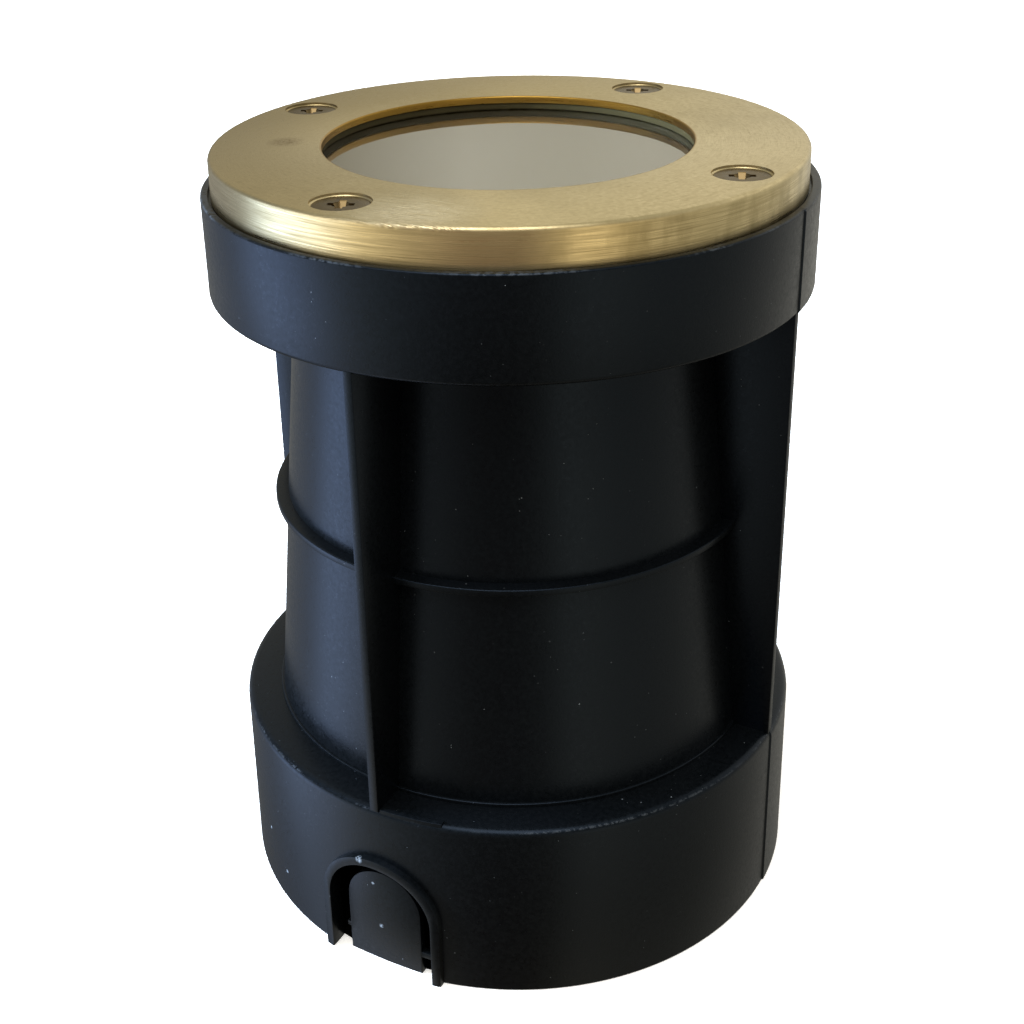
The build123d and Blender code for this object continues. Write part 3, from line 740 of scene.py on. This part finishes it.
def entry_panel():
    """The thin break-out panel and the bridges that still hold it."""
    outer, far = 2 * PANEL_FACE, HOOD_CENTRE + HOOD_OUTER  # half as curved as the skirt
    band = turned("panel_band", [
        (outer, 0), (outer, far), (outer - PANEL_THICK, far), (outer - PANEL_THICK, 0)],
        steps=720, centre=(0, PANEL_FACE))
    panel = arch_tool(PANEL_HALF, 20 * MM)
    side = brick("bridge", (PANEL_HALF - MM, -66 * MM, 4.4 * MM), (HOOD_INNER + 0.6 * MM, -50 * MM, 5.7 * MM))
    nib = brick("nib", (-PANEL_HALF - 0.8 * MM, -66 * MM, 5.4 * MM), (-PANEL_HALF + MM, -50 * MM, 6.5 * MM))
    for tab in (side, nib):
        cut(panel, tab, "UNION")
    cut(panel, band, "INTERSECT")
    soften(panel, 0.15 * MM)
    crown = brick("crown", (-0.9 * MM, -58.5 * MM, HOOD_CENTRE + PANEL_HALF - 0.4 * MM),
                  (0.9 * MM, -57.3 * MM, HOOD_CENTRE + HOOD_INNER + 0.6 * MM))
    return join([panel, crown], "panel")


def sleeve_fin(sizes):
    """One upright fin from the skirt's shoulder to the collar, standing out along +X."""
    low, high = sizes.skirt_height - 0.5 * MM, sizes.collar_base + 0.5 * MM
    inner_low, inner_high = (barrel_radius(sizes, level) - 0.8 * MM for level in (low, high))
    fin = brick("fin", (inner_low, -FIN_THICK / 2, low), (FIN_RADIUS, FIN_THICK / 2, high))
    with editing(fin, lambda corner: corner.co.z > 100 * MM and corner.co.x < 55 * MM):
        bpy.ops.transform.translate(value=(inner_high - inner_low, 0, 0))
    soften(fin, 0.25 * MM)
    return fin


class WELL_OT_ground_sleeve(bpy.types.Operator):
    """Models the moulded ground sleeve with its fins, hoop and cable entries"""

    bl_idname = "well.ground_sleeve"
    bl_label = "Ground sleeve"

    def execute(self, context):
        sizes, look = context.scene.well_sleeve, context.scene.well_finishes
        shell = sleeve_shell(sizes)
        part_line(shell, sizes.seam_step)
        for opening in copies_round(arch_tool(HOOD_INNER + 0.4 * MM, 16 * MM), 2):
            cut(shell, opening)
        fins = copies_round(sleeve_fin(sizes), 4)
        hoods = copies_round(entry_hood(sizes), 2)
        panels = copies_round(entry_panel(), 2)
        sleeve = join([shell, mould_flash(sizes), *fins, *hoods, *panels], "ground_sleeve_moulding")
        plastic = moulded_plastic(
            "moulded_black_polypropylene", look.plastic, look.dust,
            rims=(sizes.height / MM - 0.15, sizes.skirt_height / MM - 0.5), chips=CHIPS)
        settle(sleeve, "sleeve", plastic, "ground_sleeve")
        return {"FINISHED"}


# ---- cover
SCREW_COUNT = 4
SCREW_SUNK = 0.5 * MM  # screw heads below the ring's face
SINK_LAND = 0.45 * MM  # straight wall above the countersink
SINK_OUTER = 5.55 * MM
SINK_INNER = 2.6 * MM
HEAD_RADIUS = 5.15 * MM
SHANK_RADIUS = 2.45 * MM
SCREW_LENGTH = 16 * MM
LENS_RADIUS = 42.0 * MM
LENS_POCKET = 43.3 * MM
LENS_CHAMFER = 0.5 * MM
LIP_THICK = 1.5 * MM
LENS_THICK = 3.9 * MM
GASKET_THICK = 1.5 * MM


def on_screw_circle(piece, sizes):
    """Copies of a piece made on the +X side, at every screw."""
    return copies_round(piece, SCREW_COUNT, sizes.screw_turn)


class WELL_OT_cover_ring(bpy.types.Operator):
    """Models the brass cover ring with its countersunk holes"""

    bl_idname = "well.cover_ring"
    bl_label = "Cover ring"

    def execute(self, context):
        sizes, look = context.scene.well_cover, context.scene.well_finishes
        lip_under = sizes.top - LIP_THICK
        cover = turned("brass_cover_ring", [
            (LENS_POCKET, sizes.base, 0.2 * MM),
            (sizes.radius, sizes.base, 0.3 * MM),
            (sizes.radius, sizes.top, sizes.edge_round),
            (sizes.opening_radius, sizes.top, 0.35 * MM),
            (sizes.opening_radius, lip_under, 0.15 * MM),
            (LENS_POCKET, lip_under),
        ], steps=360, ease=5)
        over, cone_top = 0.3 * MM, sizes.top - SINK_LAND
        sink = turned_solid("countersink", [
            (SINK_INNER, sizes.base - over), (SINK_INNER, cone_top - (SINK_OUTER - SINK_INNER)),
            (SINK_OUTER, cone_top), (SINK_OUTER, sizes.top + over),
        ], steps=SMALL_STEPS * 2, centre=(sizes.screw_circle, 0))
        for tool in on_screw_circle(sink, sizes):
            cut(cover, tool)
        settle(cover, "cover", brushed_brass(look), "cover_ring")
        return {"FINISHED"}


def cross_recess(sizes, head_top):
    """The tool that cuts a screw's cross recess: two tapered blades and a cone."""
    reach, half, depth, over = 2.6 * MM, 0.72 * MM, 2.4 * MM, 0.3 * MM
    blades = []
    for turn in (0, math.pi / 2):
        blade = brick("blade", (-reach, -half, -depth), (reach, half, over))
        with editing(blade, lambda corner: corner.co.z < 0):
            bpy.ops.transform.resize(value=(0.35, 0.6, 1), center_override=(0, 0, 0))
        turn_piece(blade, turn + math.radians(28))
        blades.append(blade)
    deselect()
    bpy.ops.mesh.primitive_cone_add(
        vertices=24, radius1=0.6 * MM, radius2=1.75 * MM, depth=2.3 * MM, location=(0, 0, -0.95 * MM))
    core = fresh_piece("recess")
    for blade in blades:
        cut(core, blade, "UNION")
    with editing(core):
        bpy.ops.transform.translate(value=(sizes.screw_circle, 0, head_top))
    return core


class WELL_OT_cover_screws(bpy.types.Operator):
    """Models the four countersunk cross-recess screws"""

    bl_idname = "well.cover_screws"
    bl_label = "Cover screws"

    def execute(self, context):
        sizes, look = context.scene.well_cover, context.scene.well_finishes
        head_top = sizes.top - SCREW_SUNK
        head_edge, tip = head_top - 0.2 * MM, head_top - SCREW_LENGTH
        screw = turned_solid("cover_screw", [
            (1.6 * MM, tip), (SHANK_RADIUS, tip + 0.9 * MM),
            (SHANK_RADIUS, head_edge - (HEAD_RADIUS - SHANK_RADIUS)),
            (HEAD_RADIUS, head_edge), (HEAD_RADIUS, head_top, 0.15 * MM), (2.9 * MM, head_top),
        ], steps=SMALL_STEPS, centre=(sizes.screw_circle, 0))
        cut(screw, cross_recess(sizes, head_top))
        screws = join(on_screw_circle(screw, sizes), "bronzed_cover_screws")
        settle(screws, "cover", bronzed_brass(look), "cover_screws")
        return {"FINISHED"}


class WELL_OT_lens(bpy.types.Operator):
    """Models the toughened lens and the gasket round it"""

    bl_idname = "well.lens"
    bl_label = "Lens and gasket"

    def execute(self, context):
        sizes, look = context.scene.well_cover, context.scene.well_finishes
        top = sizes.top - LIP_THICK - GASKET_THICK
        base = top - LENS_THICK
        lens = turned_solid("toughened_lens", [
            (LENS_RADIUS - LENS_CHAMFER, base), (LENS_RADIUS, base + LENS_CHAMFER),
            (LENS_RADIUS, top - LENS_CHAMFER), (LENS_RADIUS - LENS_CHAMFER, top)])
        settle(lens, "cover", toughened_glass(look, coat=0.2), "glass_lens")
        lens.data.materials.append(etched_glass())
        with editing(lens, lambda face: face.normal.z < -0.9, "faces"):
            lens.active_material_index = 1
            bpy.ops.object.material_slot_assign()
        edge, seat, gap = sizes.opening_radius + 0.35 * MM, top + 0.02 * MM, 0.1 * MM
        gasket = turned("upper_gasket", [
            (edge, seat, 0.3 * MM),
            (LENS_RADIUS + gap, seat),
            (LENS_RADIUS + gap, base),
            (LENS_POCKET - gap, base),
            (LENS_POCKET - gap, top + GASKET_THICK),
            (edge, top + GASKET_THICK, 0.3 * MM),
        ])
        settle(gasket, "cover", gasket_rubber(look), "upper_lens_gasket")
        return {"FINISHED"}


# ---- inner pieces
LEAD_RADIUS = 1.0 * MM
LEAD_BEND = 3.0 * MM
LEAD_SWING = 13.5 * MM  # how far a lead passes beside the terminal block
LEAD_ENTRY = 68.0 * MM  # level of the terminal block's poles
SOCKET_FOOT = 80.1 * MM
LAMP_STEPS = 120  # faces round the lamp
BOWL_NECK = 9.0 * MM
BOWL_MOUTH = 23.0 * MM
BOWL_RIM = 25.35 * MM
BOWL_WALL = 1.6 * MM
INNER_PIECES = {  # by body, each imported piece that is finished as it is, and its slot
    "fixture": (
        ("housing_can", "housing_plastic"), ("cover_screw_inserts", "plain_brass"),
        ("lower_lens_gasket", "black_rubber"), ("swivel_screw", "zinc_steel"),
        ("wave_washer", "zinc_steel"), ("gland_body", "gland_nylon"),
        ("gland_flange_washer", "black_rubber"), ("gland_locknut", "gland_nylon"),
        ("gland_cable_seal", "black_rubber"), ("gland_dome_nut", "gland_nylon")),
    "yoke": (
        ("lamp_yoke", "zinc_steel"), ("terminal_block", "terminal_nylon"), ("clamp_screws", "zinc_steel")),
    "gimbal": (
        ("gimbal_ring", "black_enamel"), ("pivot_screws", "zinc_steel"),
        ("friction_washers", "white_nylon"), ("socket_strap", "zinc_steel"),
        ("lamp_socket", "white_ceramic"), ("socket_contacts", "plain_brass"),
        ("socket_rivets", "zinc_steel")),
    "lamp": (("lamp_base", "white_ceramic"), ("lamp_pins", "zinc_steel")),
}


def bowl_outline(low, high, inset):
    """The bowl's curve from its neck up to its rim, as (radius, level)."""
    steps = 18
    points = []
    for step in range(steps + 1):
        share = (step / steps) ** 2
        radius = BOWL_NECK + (BOWL_MOUTH - BOWL_NECK) * math.sqrt(share) - inset
        points.append((radius, low + (high - low) * share))
    return points


def lead_tube(name, route):
    """A round lead along straight runs with rounded bends."""
    points = []
    for before, here, after in zip(route, route[1:], route[2:]):
        near = here + (before - here).normalized() * LEAD_BEND
        far = here + (after - here).normalized() * LEAD_BEND
        points += [near, here, far]
    points = [route[0], *points, route[-1]]
    line = bpy.data.curves.new(name, "CURVE")
    line.dimensions = "3D"
    spline = line.splines.new("NURBS")
    spline.points.add(len(points) - 1)
    for target, point in zip(spline.points, points):
        target.co = (*point, 1)
    spline.order_u = 3
    spline.use_endpoint_u = True
    spline.resolution_u = 8
    line.bevel_depth = LEAD_RADIUS
    line.bevel_resolution = 6
    line.use_fill_caps = True
    lead = add_object(name, line)
    activate(lead)
    bpy.ops.object.convert(target="MESH")
    with editing(lead):
        tidy_mesh()
    turn_piece(lead, FIXTURE_TURN)
    return lead


def smooth_copy(node, name):
    """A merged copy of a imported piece's mesh, so that its curved faces shade as curved."""
    piece = add_object(name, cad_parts[node].data.copy())
    with editing(piece):
        bpy.ops.mesh.remove_doubles(threshold=MERGE)
    return piece


class WELL_OT_lamp(bpy.types.Operator):
    """Models the reflector lamp: pressed bowl, front glass and burner"""

    bl_idname = "well.lamp"
    bl_label = "Reflector lamp"

    def execute(self, context):
        look = context.scene.well_finishes
        low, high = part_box("lamp_reflector")
        seat, glass_low = high.z - 4.5 * MM, high.z - 2.0 * MM
        outside = bowl_outline(low.z, seat, 0)
        inside = bowl_outline(low.z, seat, BOWL_WALL)
        rim_bore = BOWL_RIM - BOWL_WALL
        bowl = turned("pressed_reflector_bowl", [
            *outside, (BOWL_RIM, seat, 0.5 * MM), (BOWL_RIM, high.z, 0.5 * MM),
            (rim_bore, high.z, 0.2 * MM), (rim_bore, glass_low), (inside[-1][0], glass_low),
            *reversed(inside)], steps=LAMP_STEPS)
        settle(bowl, "lamp", faceted_mirror(), "lamp_reflector")
        low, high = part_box("lamp_front_glass")
        edge, chamfer = (high.x - low.x) / 2, 0.3 * MM
        cover = turned_solid("lamp_cover_glass", [
            (edge - chamfer, low.z), (edge, low.z + chamfer), (edge, high.z - chamfer),
            (edge - chamfer, high.z)], steps=LAMP_STEPS)
        clear = toughened_glass(look, "pressed_lamp_glass")
        settle(cover, "lamp", clear, "lamp_front_glass")
        low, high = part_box("lamp_capsule")
        edge, dome = (high.x - low.x) / 2, 4 * MM
        angles = [math.radians(10 * step) for step in range(1, 10)]
        burner = turned_solid("quartz_burner", [
            (edge, low.z), (edge, high.z - dome),
            *((max(edge * math.cos(a), 0.3 * MM), high.z - dome + dome * math.sin(a)) for a in angles)],
            steps=SMALL_STEPS)
        settle(burner, "lamp", clear, "lamp_capsule")
        return {"FINISHED"}


class WELL_OT_leads(bpy.types.Operator):
    """Models the two silicone leads"""

    bl_idname = "well.leads"
    bl_label = "Socket leads"

    def execute(self, context):
        silicone = plain_moulding("silicone_sleeving", "#cfccc2", 0.5)
        middle = (SOCKET_FOOT + LEAD_ENTRY) / 2
        for node, exit_x, pole_x, swing in (
                ("socket_lead_near", 6 * MM, 14 * MM, -LEAD_SWING),
                ("socket_lead_far", -6 * MM, 22 * MM, LEAD_SWING)):
            route = [Vector(point) for point in (
                (exit_x, 0, SOCKET_FOOT + 2 * LEAD_RADIUS), (exit_x, 0, SOCKET_FOOT - 5 * MM),
                (exit_x, swing, middle), (pole_x, swing, LEAD_ENTRY), (pole_x, 0, LEAD_ENTRY))]
            lead = lead_tube(node + "_sleeving", route)
            paint(lead, silicone)
            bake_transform(lead)
            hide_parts(node)
        return {"FINISHED"}


class WELL_OT_inner_parts(bpy.types.Operator):
    """Finishes the housing, gland, yoke, gimbal and socket"""

    bl_idname = "well.inner_parts"
    bl_label = "Housing and holder"

    def execute(self, context):
        look = context.scene.well_finishes
        nylon = plain_moulding("natural_nylon", "#d8d4c6", 0.4)
        finishes = {
            "housing_plastic": moulded_plastic("moulded_black_nylon", "#101113", look.dust, 0.36),
            "plain_brass": plain_metal("turned_brass", "#cfae68", 0.3),
            "zinc_steel": plain_metal("zinc_plated_steel", "#b9bcc0", 0.3),
            "black_enamel": plain_moulding("stoved_black_enamel", "#141415", 0.3),
            "white_ceramic": plain_moulding("glazed_steatite", "#e6e2d8", 0.22),
            "gland_nylon": plain_moulding("moulded_gland_nylon", "#161617", 0.38),
            "black_rubber": gasket_rubber(look),
            "terminal_nylon": nylon,
            "white_nylon": nylon,
        }
        for body, nodes in INNER_PIECES.items():
            for node, slot in nodes:
                piece = smooth_copy(node, node + "_finished")
                settle(piece, body, finishes[slot], node)
                finish_modifier(piece, "WEIGHTED_NORMAL", keep_sharp=True)
        return {"FINISHED"}


# ---- stage
# bearings run from -X round by -Y, +X and +Y, as shares of a turn
LOW_ROOM = (  # mirrored by upright faces
    (0.000, "#666b74"), (0.030, "#7c8288"), (0.125, "#c9c0a8"), (0.208, "#857d6c"),
    (0.278, "#54473a"), (0.350, "#4c4136"), (0.378, "#736955"),  # dim room behind the camera
    (0.396, "#b9ad92"), (0.415, "#a2967c"), (0.472, "#7c7564"),  # lit doorway
    (0.544, "#6c685b"), (0.706, "#85837b"), (0.890, "#5c5b55"), (1.000, "#666b74"))
HIGH_ROOM = (  # mirrored by level faces
    (0.00, "#4f5254"), (0.20, "#5b5952"), (0.45, "#55524a"), (0.65, "#96938a"),
    (0.790, "#8b877b"), (0.812, "#938f81"), (0.822, "#8b8778"),  # wall that the lens mirrors
    (0.832, "#928e80"), (0.850, "#635e4f"), (0.90, "#6b675b"), (1.00, "#4f5254"))
WINDOW_GLOW = (0.46, 0.66, 1.05)
SKY_GLOW = (1.1, 1.05, 0.95)
LIGHTS = (  # name, place and size in metres, power in watts, colour
    ("window", (-0.92, -0.42, 0.40), (0.5, 0.8), 60, "#c6daf4"),
    ("overhead", (0.0, 0.0, 2.5), (3.5, 3.5), 44, "#fffdfb"))
CAMERA_SHIFT = (0.0488, -0.0996)  # the photograph shows the object off the middle of its lens


def place_light(name, place, size, power, colour):
    """An area light that faces the middle of the object and shows in no mirror."""
    lamp = bpy.data.lights.new(name, "AREA")
    lamp.shape = "RECTANGLE"
    lamp.size, lamp.size_y = size
    lamp.energy = power
    lamp.color = srgb(colour)[:3]
    holder = add_object(name, lamp)
    holder.location = place
    holder.rotation_euler = (Vector((0, 0, 0.08)) - Vector(place)).to_track_quat("-Z", "Y").to_euler()
    holder.visible_glossy = False


def add_glow(tree, room, glow, amount):
    """The room's colour with an amount of extra light."""
    return vector_calc(tree, "ADD", room, vector_calc(tree, "SCALE", glow, Scale=amount))


def studio_world(scene):
    """White surroundings for the camera, and a room that is bright on one side for the light."""
    world = bpy.data.worlds.new("studio")
    scene.world = world
    world.use_nodes = True
    tree = world.node_tree
    tree.nodes.clear()
    parts = axes(tree, add_node(tree, "ShaderNodeTexCoord").outputs["Generated"])
    level = parts["Z"]
    share = map_range(tree, calc(tree, "ARCTAN2", parts["Y"], parts["X"]), -math.pi, math.pi)
    # a cool window low on one side, and a room that darkens towards its floor
    window = product(
        tree, map_range(tree, share, 0.015, 0.05), map_range(tree, share, 0.155, 0.08),
        map_range(tree, level, 0.1, -0.05), map_range(tree, level, -0.62, -0.40, 0.4, 1.0))
    low = add_glow(tree, ramp(tree, share, LOW_ROOM), WINDOW_GLOW, window)
    low = vector_calc(tree, "SCALE", low, Scale=map_range(tree, level, -0.65, -0.38, 0.45, 1.0))
    # a ceiling with a skylight over the front
    sky = product(
        tree, map_range(tree, share, 0.10, 0.20), map_range(tree, share, 0.46, 0.34),
        map_range(tree, level, 0.55, 0.8))
    ceiling = map_range(tree, level, 0.5, 0.85)
    high = mix(tree, ceiling, ramp(tree, share, HIGH_ROOM), srgb("#6e6c62"))
    high = add_glow(tree, high, SKY_GLOW, sky)
    room = mix(tree, map_range(tree, level, 0.05, 0.3), low, high)
    # no soft light comes up from the floor
    ray = add_node(tree, "ShaderNodeLightPath").outputs
    below = product(tree, map_range(tree, level, 0.02, -0.02), ray["Is Diffuse Ray"])
    room = mix(tree, below, room, srgb("#16150f"))
    lit = add_node(tree, "ShaderNodeBackground", {"Color": room, "Strength": 3.0})
    seen = add_node(tree, "ShaderNodeBackground", {"Color": srgb("#ffffff"), "Strength": 1.0})
    both = add_node(tree, "ShaderNodeMixShader", {
        0: ray["Is Camera Ray"], 1: lit.outputs[0], 2: seen.outputs[0]})
    add_node(tree, "ShaderNodeOutputWorld", {"Surface": both.outputs[0]})


class WELL_OT_stage(bpy.types.Operator):
    """Sets the pale floor, the soft light and the camera of the photograph"""

    bl_idname = "well.stage"
    bl_label = "Stage"

    def execute(self, context):
        scene, look = context.scene, context.scene.well_stage
        deselect()
        bpy.ops.mesh.primitive_plane_add(size=14, location=(0, 0, -0.05 * MM))
        floor = bpy.context.object
        floor.name = "studio_floor"
        material, tree, shader = new_material("matt_floor_paint")
        fill(tree, shader, {
            "Base Color": srgb(look.floor_colour), "Roughness": 0.9, "Specular IOR Level": 0.1,
            "Emission Color": srgb(look.floor_colour), "Emission Strength": 0.4})
        floor.data.materials.append(material)
        floor.visible_glossy = floor.visible_diffuse = floor.visible_transmission = False
        # a dark disc under the sleeve, put where there is only shade: painted shade
        deselect()
        bpy.ops.mesh.primitive_circle_add(
            vertices=96, radius=57.5 * MM, location=(0, 0, -0.02 * MM), fill_type="NGON")
        ground = bpy.context.object
        ground.name = "ground_under_sleeve"
        material, tree, shader = new_material("dark_bare_ground")  # painted shade: a dark disc that keeps the sleeve dark inside
        fill(tree, shader, {"Base Color": srgb("#0a0a09"), "Roughness": 1.0, "Specular IOR Level": 0.0})
        ground.data.materials.append(material)
        for light in LIGHTS:
            place_light(*light)
        studio_world(scene)
        data = bpy.data.cameras.new("photo_camera")
        data.lens = look.lens
        data.sensor_width = 36
        data.shift_x, data.shift_y = CAMERA_SHIFT
        data.clip_start = 0.01
        camera = add_object("photo_camera", data)
        camera.location = look.camera_place
        camera.rotation_euler = Euler(look.camera_turn, "XYZ")
        scene.camera = camera
        scene.view_settings.view_transform = "Standard"
        return {"FINISHED"}


# ---- add-on
class WELL_PT_panel(bpy.types.Panel):
    """Lists the well light's pieces and settings"""

    bl_idname = "WELL_PT_panel"
    bl_label = "Well light"
    bl_space_type = "VIEW_3D"
    bl_region_type = "UI"
    bl_category = "Well light"

    def draw(self, context):
        for operator in OPERATORS:
            self.layout.operator(operator.bl_idname)
        for group in SETTINGS:
            settings = getattr(context.scene, group)
            for name in settings.bl_rna.properties.keys():
                if name not in ("rna_type", "name"):
                    self.layout.prop(settings, name)


OPERATORS = (
    WELL_OT_stage,
    WELL_OT_ground_sleeve,
    WELL_OT_cover_ring,
    WELL_OT_cover_screws,
    WELL_OT_lens,
    WELL_OT_lamp,
    WELL_OT_leads,
    WELL_OT_inner_parts,
)
SETTINGS = {
    "well_sleeve": SleeveSizes,
    "well_cover": CoverSizes,
    "well_finishes": Finishes,
    "well_stage": StageLook,
}


def register():
    for settings in SETTINGS.values():
        bpy.utils.register_class(settings)
    for cls in (*OPERATORS, WELL_PT_panel):
        bpy.utils.register_class(cls)
    for name, settings in SETTINGS.items():
        setattr(bpy.types.Scene, name, PointerProperty(type=settings))


def unregister():
    for name in SETTINGS:
        delattr(bpy.types.Scene, name)
    for cls in (WELL_PT_panel, *reversed(OPERATORS)):
        bpy.utils.unregister_class(cls)
    for settings in reversed(SETTINGS.values()):
        bpy.utils.unregister_class(settings)


def main():
    register()
    for operator in OPERATORS:
        family, name = operator.bl_idname.split(".")
        getattr(getattr(bpy.ops, family), name)()


if __name__ == "__main__":
    main()
